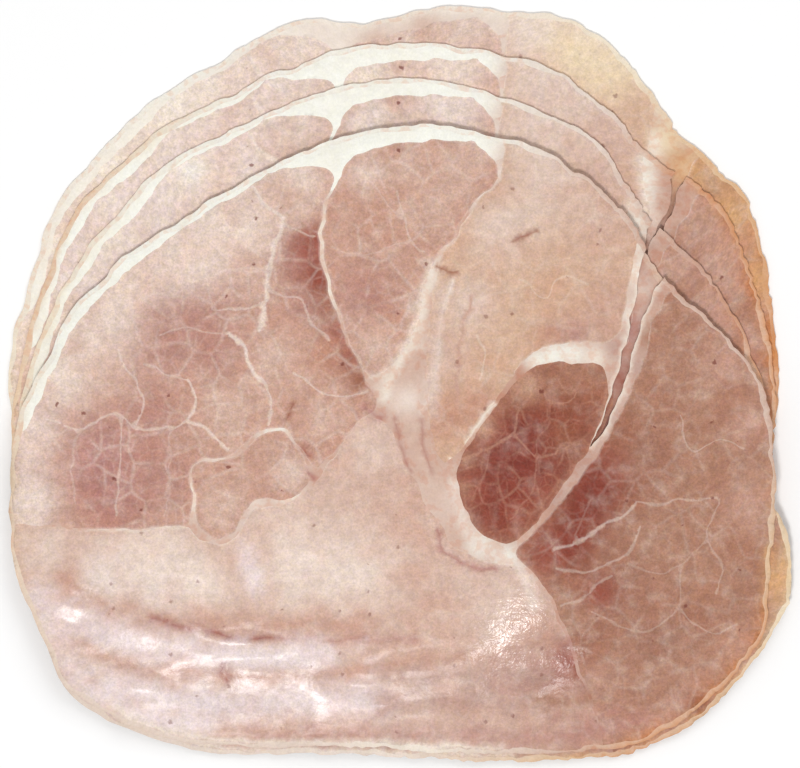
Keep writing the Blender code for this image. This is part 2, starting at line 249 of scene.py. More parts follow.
# Borders that hardly show: x, y, radius.
FAINT_BORDERS = [
    (35, -52, 6), (41, -62, 7), (45, -73, 7), (49, -86, 9), (8, 22, 5), (7, 10, 7), (8, -3, 7),
    (13, -16, 4), (0, -18, 7), (-8, -10, 5), (6, -32, 8), (-88, -36, 6), (-24, -28, 5), (60, 32, 3),
    (17, -22, 4), (20, -10, 4), (26, -3, 4),
]

# Pale veins within the muscles: half width, strength, then the way that the vein takes.
VEINS = [
    (0.45, 0.95, [(-36.5, 49), (-34.6, 45.8), (-29.4, 40.5), (-31.1, 35.3), (-32.9, 28.3), (-33.5, 23)]),
    (0.55, 1.0, [(-33.2, 24), (-33.8, 20.4), (-34.2, 17), (-35.1, 13.4)]),
    (0.5, 1.0, [(-42.5, 12.5), (-39, 9), (-37.3, 4.6), (-33.8, 0.3)]),
    (0.3, 0.7, [(-33.8, 0.3), (-32, -5), (-32.9, -10.2)]),
    (0.26, 0.6, [(-33.8, 20.4), (-38, 18.8), (-42.5, 18.2), (-46.9, 18.6)]),
    (0.24, 0.4, [(-32.9, 28.3), (-38, 29), (-42.5, 28.3)]),
    (0.24, 0.5, [(-29.4, 40.5), (-25, 38), (-21.5, 37)]),
    (0.28, 0.5, [(-33.2, 23), (-29, 22.5), (-25, 21.3), (-22.4, 16), (-18, 10.8)]),
    (0.28, 0.6, [(-27, 3), (-22.4, 0.3), (-17.1, -3.2), (-12, -3), (-8, -1.9)]),
    (0.26, 0.5, [(-64, 5), (-59, 2.9), (-53, 1.1)]),
    (0.34, 0.8, [(-53, 1.1), (-51.3, -5.9), (-53, -9.4), (-50, -10.5), (-46.9, -12.9), (-43, -16)]),
    (0.28, 0.6, [(-88, -9), (-80, -11), (-75, -9), (-70, -8), (-66, -10.5), (-60, -11.6), (-53, -9.4)]),
    (0.24, 0.5, [(-69.5, -8), (-70, -20), (-71, -33)]),
    (0.26, 0.6, [(-70, 8), (-69, 5), (-66, 1), (-64, -5), (-66, -10)]),
    (0.2, 0.3, [(-57, -12), (-58, -20), (-57.5, -28), (-59, -33)]),
    (0.2, 0.3, [(-80, -11), (-82, -19), (-81, -30)]),
    (0.22, 0.35, [(-50, 29), (-47.5, 23), (-46.9, 18.6)]),
    (0.22, 0.4, [(-60, 12), (-54, 14), (-48, 13), (-42.5, 12.5)]),
    (0.22, 0.45, [(0, 48), (1, 41), (3, 36), (6, 33)]),
    (0.2, 0.3, [(-17, 34), (-10, 32), (-3, 34), (3, 36)]),
    (0.2, 0.3, [(-9, 52), (-4, 46), (0, 41)]),
    (0.22, 0.35, [(19, 12), (21.5, 7), (20, 1)]),
    (0.2, 0.3, [(30, 26), (36, 22), (41, 27), (47, 25)]),
    (0.36, 0.75, [(12.5, -19), (17.5, -18.3), (22.5, -16.4), (26, -14), (28.6, -12)]),
    (0.24, 0.6, [(28.6, -12), (29.5, -7.6), (32.5, -3), (34.7, -0.6), (37.4, -4.1), (41.7, -5), (44, -2)]),
    (0.24, 0.6, [(28.6, -12.5), (31, -15.5), (33.9, -18.1), (38, -17.5), (41.7, -14.6), (45, -15)]),
    (0.2, 0.4, [(33.9, -18.1), (34, -24), (31, -30), (27, -34)]),
    (0.2, 0.4, [(22.5, -16.4), (21, -23), (18, -29)]),
    (0.18, 0.35, [(37.4, -4.1), (37, -10), (34, -14), (33.9, -18.1)]),
    (0.5, 0.85, [(16.4, -14.6), (19, -11.5), (20.7, -9.4), (23.4, -5)]),
    (0.34, 0.55, [(59.2, -29.5), (56, -32.5), (50, -35.5), (47, -38.2), (43, -40), (38, -41)]),
    (0.28, 0.4, [(60, -36), (57.5, -41), (54, -43.5), (49, -46), (45.2, -47), (39, -46)]),
    (0.28, 0.35, [(53, -48), (48, -51), (44, -54), (40, -55)]),
    (0.2, 0.15, [(48, -28.5), (45, -34), (44, -39)]),
    (0.24, 0.35, [(59.2, -29.5), (64, -30), (70, -29), (76, -28.5), (80, -29.5)]),
    (0.22, 0.3, [(80, -29.5), (78, -33), (77, -38), (80, -45), (79, -52)]),
    (0.2, 0.22, [(77, -38), (70, -45), (62, -47), (57, -45)]),
    (0.18, 0.35, [(70, -8), (73, -17), (80, -14), (86, -16)]),
    (0.24, 0.25, [(70, -45), (69, -56), (61, -62), (54, -60), (48, -57)]),
    (0.18, 0.3, [(69, -56), (78, -62), (84, -60)]),
]

# -------------------- colours

# Red, green and blue from 0 to 255, as they look in white light.
FAT = (243, 242, 232)
CREAM = (240, 229, 215)
OAT = (231, 214, 202)
SHELL = (219, 196, 183)
BLUSH = (206, 173, 157)
ROSE = (195, 153, 135)
DEEP_ROSE = (182, 136, 124)
MAUVE = (176, 124, 116)
WINE = (130, 56, 42)
MAROON = (116, 54, 43)
BRICK = (150, 76, 60)
RUSSET = (146, 76, 56)
SAND = (207, 171, 146)
TAN = (170, 124, 102)
TAUPE = (160, 116, 98)
UMBER = (152, 94, 70)
COPPER = (204, 132, 74)
HONEY = (216, 170, 120)
BUTTER = (234, 214, 180)
STRAW = (236, 222, 198)
# a pale lilac white, laid where the wet meat shows a broad soft gloss: painted sheen
LILAC_SHEEN = (231, 217, 217)
ASH = (188, 154, 142)
FAWN = (190, 140, 118)
BUFF = (226, 194, 160)
PEARL = (229, 213, 204)

MUSCLE_BASES = {
    "left_muscle": ROSE,
    "inner_muscle": ROSE,
    "top_muscle": ROSE,
    "centre_muscle": SAND,
    "eye_muscle": WINE,
    "right_muscle": TAN,
    "lower_muscle": BLUSH,
    "fat_cap": FAT,
    "seam_fat": BLUSH,
    "rind": CREAM,
}

# Brush strokes over each piece of every slice, on the front slice's places: x, y, radius, colour.
STROKES = {
    "left_muscle": [
        (-33, 44, 9, SHELL), (-23, 51, 5, OAT), (-68, 23, 5, CREAM), (-45, 35, 12, OAT), (-58, 25, 12, OAT),
        (-72, 14, 11, OAT), (-84, 1, 9, OAT), (-92, -14, 8, SHELL), (-93, -29, 7, SHELL),
        (-22.5, 33, 7, BRICK), (-21.5, 27, 5, RUSSET), (-19, 20, 4.5, UMBER), (-16, 13, 4, BRICK),
        (-13, 7, 4, BRICK), (-10, 1, 3.5, UMBER), (-25, 44, 6, BLUSH), (-40, 30, 7, ROSE),
        (-48, 17, 10, DEEP_ROSE), (-58, 8, 9, DEEP_ROSE), (-48, 3, 7, ROSE), (-74, -18, 11, MAUVE),
        (-72, -27, 9, MAUVE), (-60, -24, 9, DEEP_ROSE), (-62, -8, 7, DEEP_ROSE), (-30, 6, 9, BLUSH),
        (-44, -8, 7, BLUSH), (-19, -9, 5, BLUSH), (-52, 32, 9, OAT), (-40, 38, 7, OAT),
        (-21, 35, 4, RUSSET), (-26, 31, 5, DEEP_ROSE), (-24, 20, 5, DEEP_ROSE), (-19, 7, 5, FAWN),
        (-56, 15, 8, DEEP_ROSE), (-46, 7, 6, DEEP_ROSE), (-22, 34, 4.5, BRICK), (-20, 26, 3.5, BRICK),
        (-94, -12, 8, PEARL), (-95, -28, 7, PEARL), (-95, -37, 6, PEARL),
    ],
    "inner_muscle": [(-30, -18, 5, ROSE), (-44, -30, 6, BLUSH), (-27, -22, 4, SHELL)],
    "top_muscle": [
        (3, 58, 6, ROSE), (3, 53, 5, BLUSH), (15, 54, 6, BLUSH), (-9, 44, 8, ROSE), (2, 32, 8, ROSE),
        (-9, 22, 8, DEEP_ROSE), (-6, 10, 6, BLUSH), (9, 46, 6, BLUSH), (-9, 53, 4.5, SHELL),
    ],
    "centre_muscle": [
        (38, 52, 12, SHELL), (50, 40, 9, BLUSH), (26, 38, 9, SHELL), (11, 8, 7, BLUSH), (12, -8, 6, FAWN),
        (38, 20, 12, SAND), (52, 20, 7, ROSE), (18, 20, 6, SHELL), (38, 13, 4, FAWN),
        (44, 12.5, 4.5, DEEP_ROSE), (51, 13, 4, ROSE), (20, -5, 5, FAWN),
    ],
    "eye_muscle": [
        (41, -1, 7, UMBER), (48, -2, 6, UMBER), (31, -3, 5, UMBER), (31, 0.5, 4.5, SAND), (44, 2, 5, TAN),
        (21, -12, 5, BRICK), (31, -11, 5, WINE), (24, -27, 8, WINE), (17, -25, 4, BRICK),
        (38, -18, 6, WINE), (42, -13, 5, UMBER), (30, -34, 6, BRICK), (36, -27, 4, BRICK),
        (17, -19, 2.5, TAN), (20.5, -10.5, 3, SAND), (25, -4.5, 3, TAN), (16, -26, 2, TAN), (48, 2, 3, TAN),
    ],
    "right_muscle": [
        (72, 8, 9, TAN), (64, 0, 6, TAN), (49, -25, 8, WINE), (54, -20, 6, BRICK), (43, -38, 8, WINE),
        (49, -27, 6, WINE), (46, -31, 5, WINE), (41, -40, 5, WINE), (36, -42, 6, BRICK),
        (55, -12, 5, UMBER), (63, -20, 7, TAUPE), (56, -50, 7, TAUPE), (50, -52, 5, BRICK),
        (66, -42, 9, TAN), (78, -20, 12, TAN), (79, -46, 10, TAN), (48, -73, 6, TAN), (64, -68, 10, TAUPE),
        (46, -66, 5, UMBER), (50, -78, 8, ROSE), (85, -66, 6, FAWN), (76, -77, 6, FAWN), (66, -84, 6, FAWN),
        (87, -10, 5, ROSE), (81, 5, 6, ROSE), (87, -30, 6, ROSE), (62, -73, 7, TAN), (75, -80, 4, UMBER),
    ],
    "lower_muscle": [
        (-8, -16, 6, SHELL), (-2, -26, 8, BLUSH), (-30, -36, 8, SHELL), (-62, -44, 10, OAT),
        (-50, -50, 8, OAT), (-88, -42, 6, SHELL), (10, -42, 9, BLUSH), (-24, -46, 12, OAT),
        (-10, -48, 9, OAT), (22, -54, 8, SHELL), (36, -62, 6, ROSE), (0, -62, 10, BLUSH),
        (-88, -60, 5, SHELL), (-74, -48, 7, PEARL), (-60, -53, 5, PEARL), (30, -74, 8, DEEP_ROSE),
        (38, -78, 6, TAN), (44, -71, 6, MAUVE), (45, -73, 4, UMBER), (42, -68, 4, BRICK),
        (36, -74, 3, BRICK), (47, -86, 5, DEEP_ROSE),
    ],
    "fat_cap": [(34, 61, 6, BLUSH), (29, 58, 4.5, BLUSH), (24.5, 54, 3, SHELL)],
    "seam_fat": [
        (34, 5.5, 3, FAT), (38, 7, 3.5, FAT), (43, 7.5, 3.5, FAT), (49, 6.5, 3, CREAM), (54, 9, 3, ASH),
        (56.5, 18, 4, OAT), (59, 28, 4, CREAM), (60.5, 35, 3, CREAM), (22, 57.5, 2.5, FAT),
        (24.5, 53, 3, OAT), (-15.5, 50, 3.5, FAT), (-18.5, 38, 7, CREAM), (-18, 24, 6, CREAM),
        (20, 47, 4, OAT), (11, 35, 4, OAT), (69, 28, 4, ROSE), (65, 21, 3, ROSE), (63, 24, 2.5, ASH),
        (62, 12, 4, TAN), (60, 4, 4, ASH), (50, -8, 5, ASH), (45, -19, 5, ASH), (39, -29, 5, ASH),
        (-51.5, -28, 5, CREAM), (-46, -18.5, 4, OAT), (-31, -12, 4, FAT), (-28, -27.5, 4, CREAM),
        (-36, -30, 3, OAT), (-41, -35, 4, SHELL), (-46, -38.5, 3, SHELL), (-70, -36, 8, OAT),
        (26, -4, 6, FAWN), (18, -14, 5, FAWN), (2, -4, 4, OAT), (4, -34, 8, SHELL), (14, -29, 4, SHELL),
        (20, -40, 3.5, FAT), (26.5, -43.5, 3.5, FAT), (30, 2.5, 2.2, FAWN), (38, -58, 4, ROSE),
        (42, -66, 4, MAUVE), (46, -76, 5, DEEP_ROSE), (49, -87, 5, DEEP_ROSE),
    ],
}

# Long strokes over all the muscles and seams, on the front slice's places: half width, colour, the way.
# The rows down to the thin edge line run across the hanging lower part, along the lower slices' ends:
# there the meat's own colour is mixed with painted shade in the darker bands and painted sheen in the lilac
# ones.
BANDS = [
    (3.0, ROSE, [(-84, -49), (-77, -54.5), (-63, -58), (-46, -60), (-28, -60.5), (-8, -60)]),
    # a dark line along the step where the bottom slice ends: painted shade over the meat's reddish colour
    (1.0, BRICK, [(-62, -58.4), (-54, -60.5), (-47, -62), (-39, -63.6), (-30, -63.2)]),
    (1.0, DEEP_ROSE, [(-30, -63.2), (-12, -64), (4, -63.5)]),
    # painted sheen of the wet surface
    (4.2, LILAC_SHEEN, [(-91, -54), (-80, -60), (-66, -64.5), (-50, -67.5), (-34, -68.5), (-18, -68)]),
    (1.5, ROSE, [(-80, -65), (-68, -70.5), (-56, -73), (-42, -73.5), (-20, -72.5), (0, -70), (20, -68)]),
    (2.4, ASH, [(-4, -73), (10, -73), (24, -72.5), (36, -73)]),
    # painted sheen of the wet surface
    (3.2, LILAC_SHEEN, [(-87, -62), (-84, -71), (-76, -79), (-64, -84), (-48, -85)]),
    (1.6, BRICK, [(-45, -71), (-43.5, -73.5)]),
    # painted sheen of the wet surface
    (4.4, LILAC_SHEEN, [(-72, -75), (-56, -79), (-40, -80), (-20, -79), (-4, -79.5)]),
    (3.0, ASH, [(-4, -79.5), (16, -79), (34, -79)]),
    (2.0, TAN, [(34, -79), (50, -78), (62, -74), (72, -67)]),
    (2.6, DEEP_ROSE, [(-36, -89.5), (-10, -88), (20, -88.5), (44, -88), (60, -84)]),
    # painted highlight along the front slice's rounded lower edge
    (0.8, CREAM, [(-72, -81), (-66, -84.2), (-48, -88.8), (-22, -89.8), (0, -90.4), (25, -91)]),
    (0.6, MAUVE, [(9, -37), (11, -41), (15, -44.5), (19, -46), (24, -46)]),
    (1.7, CREAM, [(8, 29), (6, 20), (3, 12), (-0.5, 5), (-4, -3)]),
    (1.3, OAT, [(13, -24), (15, -31), (18, -39), (24, -43), (29, -46), (33, -54)]),
    (1.0, MAUVE, [(-8.5, -6), (-5, -8.5)]),
    (0.5, DEEP_ROSE, [(-1, -9), (0, -16), (3, -22)]),
    (0.5, DEEP_ROSE, [(5, -9), (6, -15), (8, -22)]),
    (0.45, ROSE, [(7, 3), (9, -6), (9, -13)]),
    (0.6, CREAM, [(16.6, -14), (19, -10.8), (21, -8), (23.2, -5)]),
    (0.5, OAT, [(13, 26), (10, 14), (9, 2), (6, -6)]),
    (0.45, ROSE, [(18, 22), (15, 10), (14, -4)]),
    # painted sheen on a wet patch
    (2.4, LILAC_SHEEN, [(-38.5, -42.5), (-37.8, -46), (-36.5, -49.5)]),
    (0.8, BRICK, [(-24.5, -16.5), (-23, -18)]),
    (0.5, UMBER, [(28.5, 35.5), (31, 36.8), (34, 38.4)]),
    (0.5, UMBER, [(9, 29), (12, 28), (14.5, 28.2)]),
    (0.6, UMBER, [(-28.5, -9.5), (-27.5, -7.5), (-26.8, -5)]),
    (0.8, MAUVE, [(-23, -22.5), (-21.5, -24)]),
    (1.8, SHELL, [(8, -4), (9, 8), (10.5, 22)]),
]
UNBANDED = ("eye_muscle", "fat_cap", "rind")

# How much the fine network of pale lines shows, where it isn't 1.
NETTING = {"right_muscle": 0.45, "lower_muscle": 0.7}

# Brush strokes over a whole slice, where it differs from the others: x, y, radius, colour.
SLICE_STROKES = {
    "slice_1": [
        (-42, 82, 14, OAT), (-20, 88, 12, OAT), (0, 89, 12, OAT), (18, 89, 11, SHELL), (34, 88, 8, OAT),
        (-6, 86, 5, BLUSH), (6, 90, 5, BLUSH), (44, 84, 8, BUTTER), (54, 77, 9, BUTTER), (60, 68, 7, SAND),
        (-58, 70, 12, CREAM), (-74, 54, 11, CREAM), (-86, 34, 9, CREAM), (-94, 12, 7, CREAM),
        (67, 61, 4, BUTTER), (72, 54, 6, HONEY), (82, 42, 7, HONEY), (88, 26, 7, HONEY), (92, 8, 7, COPPER),
        (64, 61, 1.6, CREAM), (63.6, 58, 1.6, CREAM),
    ],
    "slice_2": [
        (-70, 50, 14, PEARL), (-84, 28, 11, PEARL), (-54, 62, 10, PEARL), (-34, 74, 9, PEARL),
        (-16, 78, 8, SHELL), (12, 78, 14, OAT), (38, 73, 9, SHELL), (54, 62, 7, BLUSH), (-10, 78, 6, CREAM),
        (61.5, 56, 2.2, FAT), (62.3, 51.5, 2.3, FAT), (62.3, 47, 2.2, FAT), (61.2, 43.6, 2, CREAM),
        (67.5, 51, 3.4, ROSE), (66.5, 45, 2.5, ROSE), (72, 44, 6, ROSE), (80, 35, 7, ROSE),
    ],
    "slice_3": [
        (-76, 30, 11, PEARL), (-60, 47, 11, PEARL), (-42, 58, 10, PEARL), (-24, 66, 8, SHELL),
        (12, 69, 12, PEARL), (36, 63, 8, SHELL), (50, 52, 7, BLUSH), (-8, 66, 6, PEARL), (-53, 53, 4, FAT),
        (58, 44.5, 1.8, CREAM), (60.3, 41, 2, FAT), (61.8, 37, 1.8, FAT), (64.5, 38, 2.5, BLUSH),
        (70, 30, 6, ROSE), (80, 18, 7, ROSE),
    ],
    "slice_4": [
        # under the front slice's split: this slice's own tone, darkened towards the split's narrow end as
        # painted shade
        (60, 30, 7, DEEP_ROSE), (57, 14, 6, MAUVE), (54, 2, 5, BRICK), (50, -9, 6, MAROON),
        (95, -48, 7, HONEY),
    ],
}

# The rind's colour round each slice: direction from the slice's centre in degrees, colour.
RIND_TONES = {
    "slice_1": [
        (-170, STRAW), (-90, SHELL), (-40, HONEY), (0, COPPER), (25, HONEY), (45, STRAW), (75, CREAM),
        (100, CREAM), (130, FAT), (165, CREAM),
    ],
    "slice_2": [
        (-170, BUFF), (-90, SHELL), (-40, HONEY), (0, COPPER), (30, COPPER), (45, SHELL), (80, FAT),
        (120, FAT), (138, STRAW), (155, BUFF), (170, BUFF),
    ],
    "slice_3": [
        (-170, STRAW), (-90, SHELL), (-40, HONEY), (0, COPPER), (22, FAWN), (45, SHELL), (80, FAT),
        (130, FAT), (165, STRAW),
    ],
    "slice_4": [
        (-170, SHELL), (-90, OAT), (-62, HONEY), (-52, COPPER), (-34, HONEY), (-22, BUTTER), (0, HONEY),
        (50, SHELL), (90, FAT), (140, FAT),
    ],
    "slice_5": [
        (-175, BUFF), (-140, SHELL), (-105, SHELL), (-85, CREAM), (-62, ROSE), (-52, COPPER), (-28, COPPER),
        (-18, HONEY), (0, ROSE), (30, ROSE), (55, BLUSH), (72, FAT), (140, FAT), (165, FAT),
    ],
}


def linear(paint):
    """A paint in the linear numbers that shaders use."""
    share = np.array(paint) / 255
    return np.where(share <= 0.04045, share / 12.92, ((share + 0.055) / 1.055) ** 2.4)


# -------------------- curves and fields


def smooth(at, knots, values, period=None):
    """Cubic interpolation through the knots, with each tangent taken from its two neighbours."""
    knots = np.asarray(knots, float)
    values = np.asarray(values, float)
    if period is None:
        knots = np.concatenate(([2 * knots[0] - knots[1]], knots, [2 * knots[-1] - knots[-2]]))
        values = np.concatenate(([2 * values[0] - values[1]], values, [2 * values[-1] - values[-2]]))
    else:
        at = (at - knots[0]) % period + knots[0]
        knots = np.concatenate(([knots[-1] - period], knots, knots[:2] + period))
        values = np.concatenate(([values[-1]], values, values[:2]))
    gaps = np.diff(knots)
    slopes = np.diff(values) / gaps
    tangents = (slopes[1:] * gaps[:-1] + slopes[:-1] * gaps[1:]) / (gaps[1:] + gaps[:-1])
    cell = np.clip(np.searchsorted(knots, at, side="right") - 1, 1, len(knots) - 3)
    gap = gaps[cell]
    t = (at - knots[cell]) / gap
    start, end = values[cell], values[cell + 1]
    lead, trail = tangents[cell - 1] * gap, tangents[cell] * gap
    return (
        start * (2 * t**3 - 3 * t**2 + 1)
        + lead * (t**3 - 2 * t**2 + t)
        + end * (3 * t**2 - 2 * t**3)
        + trail * (t**3 - t**2)
    )


def curve(points, step, closed=True):
    """Points about a step apart along a smooth curve through the given ones."""
    points = np.asarray(points, float)
    ring = np.vstack((points, points[:1])) if closed else points
    knots = np.concatenate(([0], np.cumsum(np.hypot(*np.diff(ring, axis=0).T))))
    length = knots[-1]
    count = max(2, round(length / step))
    at = np.linspace(0, length, count, endpoint=not closed)
    if closed:
        return np.column_stack([smooth(at, knots[:-1], points[:, axis], length) for axis in (0, 1)])
    return np.column_stack([smooth(at, knots, points[:, axis]) for axis in (0, 1)])


def waves(places, wavelength, seed):
    """A soft random field of about unit strength, made of plane waves near one length."""
    draw = np.random.default_rng(SEED + seed)
    turns = draw.uniform(0, 2 * np.pi, WAVES_IN_A_SUM)
    pulls = 2 * np.pi / (wavelength * draw.uniform(0.6, 1.7, WAVES_IN_A_SUM))
    phases = draw.uniform(0, 2 * np.pi, WAVES_IN_A_SUM)
    along = places[:, :1] * np.cos(turns) + places[:, 1:2] * np.sin(turns)
    return np.cos(along * pulls + phases).sum(1) * math.sqrt(2 / WAVES_IN_A_SUM)


def field(name, places, offset=0):
    """One of the named random fields; another offset gives another field of the same kind."""
    return sum(strength * waves(places, length, seed + offset) for length, seed, strength in FIELDS[name])


def bump(places, x, y, radius):
    """A soft round bump, 1 at its middle."""
    return np.exp(-((places - (x, y)) ** 2).sum(1) / radius**2)


def wiggled(points):
    """Border points moved a little, by one field for all borders, so that they never cross."""
    return points + np.column_stack((field("border_x", points), field("border_y", points)))


def drawn(points, closed=True):
    """A line or a loop of the mesh: a smooth curve through the points, a little uneven."""
    return wiggled(curve(points, BORDER_STEP, closed))


def grown(loop, distance):
    """The closed loop, turned anticlockwise, with every side moved outwards by the distance."""
    ahead = np.roll(loop, -1, 0)
    if np.sum(loop[:, 0] * ahead[:, 1] - ahead[:, 0] * loop[:, 1]) < 0:
        loop = loop[::-1]
        ahead = np.roll(loop, -1, 0)
    sides = ahead - loop
    outward = np.column_stack((sides[:, 1], -sides[:, 0])) / np.hypot(sides[:, 0], sides[:, 1])[:, None]
    before = np.roll(outward, 1, 0)
    turn = np.maximum(1 + np.sum(outward * before, 1), 0.5)
    return loop + distance * (outward + before) / turn[:, None]


def inside(places, loop):
    """For each place, whether it lies within the closed loop."""
    x, y = places.T
    found = np.zeros(len(places), bool)
    for (x0, y0), (x1, y1) in zip(loop, np.roll(loop, -1, 0), strict=True):
        if y0 == y1:
            continue
        crossed = (y0 > y) != (y1 > y)
        found ^= crossed & (x < (x1 - x0) * (y - y0) / (y1 - y0) + x0)
    return found


def distance_to(places, targets):
    """Distance from each place to the nearest target point, and which one it is."""
    tree = kdtree.KDTree(len(targets))
    for index, (x, y) in enumerate(targets):
        tree.insert((x, y, 0), index)
    tree.balance()
    found = [tree.find((x, y, 0))[1:] for x, y in places]
    return np.array([distance for index, distance in found]), np.array([index for index, distance in found])


def eased(share):
    """0 to 1 with soft ends."""
    share = np.clip(share, 0, 1)
    return share * share * (3 - 2 * share)


# -------------------- slices


class Slice:
    """One slice's level, and its edge as a smooth radius for each direction from its centre."""

    def __init__(self, index, upper_edge, lower_edge, shift):
        self.index = index
        self.name = SLICE_NAMES[index]
        self.rise = RISES[index]
        edge = np.vstack((np.array(upper_edge, float), np.array(lower_edge) + shift))
        self.centre = (edge.min(0) + edge.max(0)) / 2
        arms = edge - self.centre
        directions = np.arctan2(arms[:, 1], arms[:, 0])
        order = np.argsort(directions)
        self.directions = directions[order]
        self.radii = np.hypot(arms[:, 0], arms[:, 1])[order]

    def radius(self, directions):
        return smooth(directions, self.directions, self.radii, 2 * np.pi)

    def polar(self, places):
        arms = places - self.centre
        return np.arctan2(arms[:, 1], arms[:, 0]), np.hypot(arms[:, 0], arms[:, 1])

    def place(self, directions, reach):
        return self.centre + np.column_stack((np.cos(directions), np.sin(directions))) * reach[:, None]

    def edge(self, step):
        count = round(2 * np.pi * self.radii.mean() / step)
        directions = np.linspace(-np.pi, np.pi, count, endpoint=False)
        return self.place(directions, self.radius(directions))


SLICES = [
    Slice(0, BOTTOM_UPPER_EDGE, FRONT_LOWER_EDGE, (0, 30)),
    Slice(1, SECOND_UPPER_EDGE, FRONT_LOWER_EDGE, (0, 21)),
    Slice(2, THIRD_UPPER_EDGE, FRONT_LOWER_EDGE, (0, 11.5)),
    Slice(3, HIDDEN_UPPER_EDGE, FRONT_LOWER_EDGE[:-2], (1, -2)),
    Slice(4, FRONT_UPPER_EDGE, FRONT_LOWER_EDGE, (0, 0)),
]
FRONT = SLICES[-1]


def beyond(places, layer):
    """How far each place lies beyond a slice's edge."""
    directions, reach = layer.polar(places)
    return reach - layer.radius(directions)


def drop(places):
    """How far the pile hangs below its level: its bend, with a soft step where each lower slice ends."""
    past = beyond(places, SLICES[0])
    bent = np.clip(past, 0, DRAPE_BEND)
    fall = DRAPE_SLOPE * (bent**2 / (2 * DRAPE_BEND) + np.maximum(past, 0) - bent)
    wander = field("step_place", places)
    ripple = np.zeros(len(places))
    for layer, depth in zip(SLICES[:3], STEP_DEPTHS, strict=True):
        step = beyond(places, layer) + wander
        ripple += depth * (eased((step + 2) / 6) - eased((step + 1) / 15))
    strength = eased(past / 5) * (0.8 + field("step_strength", places))
    return np.minimum(fall + ripple * strength, RISES[3] - LEAST_RISE)


# Soft folds, as high as they are on the front slice: x, y, radius, height.
FOLDS = [(33, -50, 15, 3.1), (-6, -36, 12, -0.3), (-48, -46, 12, 0.4), (10, 20, 20, 0.4)]

# Where the film of juice lies: x, y, radius, how thick it is.
WET_PATCHES = [
    (-78, -58, 9, 0.8), (-60, -68, 12, 0.75), (-42, -73, 12, 0.75), (-22, -75, 12, 0.7),
    (-2, -75, 11, 0.45), (18, -74, 9, 0.45), (32, -63, 13, 1.5), (34, -68, 6, 1.5), (27, -43, 6, 1.0),
    (-30, -13, 4, 1.0), (-37, -46, 4, 0.8), (88, -20, 5, 0.6),
]

BEAD_PATCH = (31, -61, 14)  # where the juice stands in small drops: x, y, radius

# -------------------- the flat mesh of the front slice


class Template:
    """The front slice as a flat mesh of triangles, parted into pieces, with each vertex's distances."""

    def __init__(self):
        outline = FRONT.edge(BORDER_STEP)
        directions, reach = FRONT.polar(outline)
        rind_line = FRONT.place(directions, reach - RIND_WIDTH * (1 + field("rind_width", outline)))
        muscles = {
            name: drawn(grown(np.array(points, float), CLOSER_GROWTH.get(name, MUSCLE_GROWTH)))
            for name, points in MUSCLES.items()
        }
        cap_zone, split, slit = drawn(CAP_ZONE), drawn(SPLIT), drawn(SLIT)
        veins = [drawn(points, closed=False) for width, strength, points in VEINS]
        bands = [drawn(points, closed=False) for width, colour, points in BANDS]
        band_widths = [width for width, colour, points in BANDS]

        loops = [outline, rind_line, cap_zone, split, slit, *muscles.values()]
        vein_traits = np.vstack([np.full((len(line), 2), vein[:2]) for line, vein in zip(veins, VEINS)])
        open_lines = veins + [line for line, width in zip(bands, band_widths) if width <= MESHED_BAND]
        filling = self.filling(outline, np.vstack([*loops, *open_lines]))

        verts = []
        edges = []
        for index, line in enumerate(loops + open_lines):
            start = len(verts)
            verts.extend(line)
            sides = len(line) if index < len(loops) else len(line) - 1
            edges.extend((start + i, start + (i + 1) % len(line)) for i in range(sides))
        verts.extend(filling)
        flat, _, faces, *_ = geometry.delaunay_2d_cdt([Vector(v) for v in verts], edges, [], 0, 1e-4)
        self.places = np.array([v[:] for v in flat])
        faces = np.array([face for face in faces if len(face) == 3])
        middles = self.places[faces].mean(1)

        kind = np.full(len(faces), "seam_fat", dtype="U16")
        kind[inside(middles, cap_zone)] = "fat_cap"
        for name, loop in muscles.items():
            kind[inside(middles, loop)] = name
        kind[~inside(middles, rind_line)] = "rind"
        in_split = inside(middles, split)
        kind[in_split & (kind != "rind")] = "seam_fat"
        kept = inside(middles, outline)
        self.faces, self.kind, self.in_split = faces[kept], kind[kept], in_split[kept]
        self.in_slit = inside(middles, slit)[kept]

        self.to_edge, _ = distance_to(self.places, outline)
        self.to_border, _ = distance_to(self.places, np.vstack([split, *muscles.values()]))
        for x, y, radius in FAINT_BORDERS:
            self.to_border += 2.5 * bump(self.places, x, y, radius)
        reach, nearest = distance_to(self.places, np.vstack(veins))
        self.to_vein = reach / vein_traits[nearest, 0]
        self.vein_strength = vein_traits[nearest, 1]
        self.to_split, _ = distance_to(self.places, split)
        self.to_bands = [distance_to(self.places, line)[0] / width for line, width in zip(bands, band_widths)]

    @staticmethod
    def filling(outline, lines):
        """Loose points over the slice, clear of the lines."""
        draw = np.random.default_rng(SEED)
        low, high = outline.min(0), outline.max(0)
        rows = np.arange(low[1], high[1], GRID_STEP * math.sqrt(3) / 2)
        columns = np.arange(low[0], high[0], GRID_STEP)
        grid = np.array([(x + GRID_STEP / 2 * (row % 2), y) for row, y in enumerate(rows) for x in columns])
        grid += draw.uniform(-0.25, 0.25, grid.shape) * GRID_STEP
        grid = grid[inside(grid, outline)]
        reach, _ = distance_to(grid, lines)
        return grid[reach > CLEAR_OF_BORDER]


# -------------------- pieces


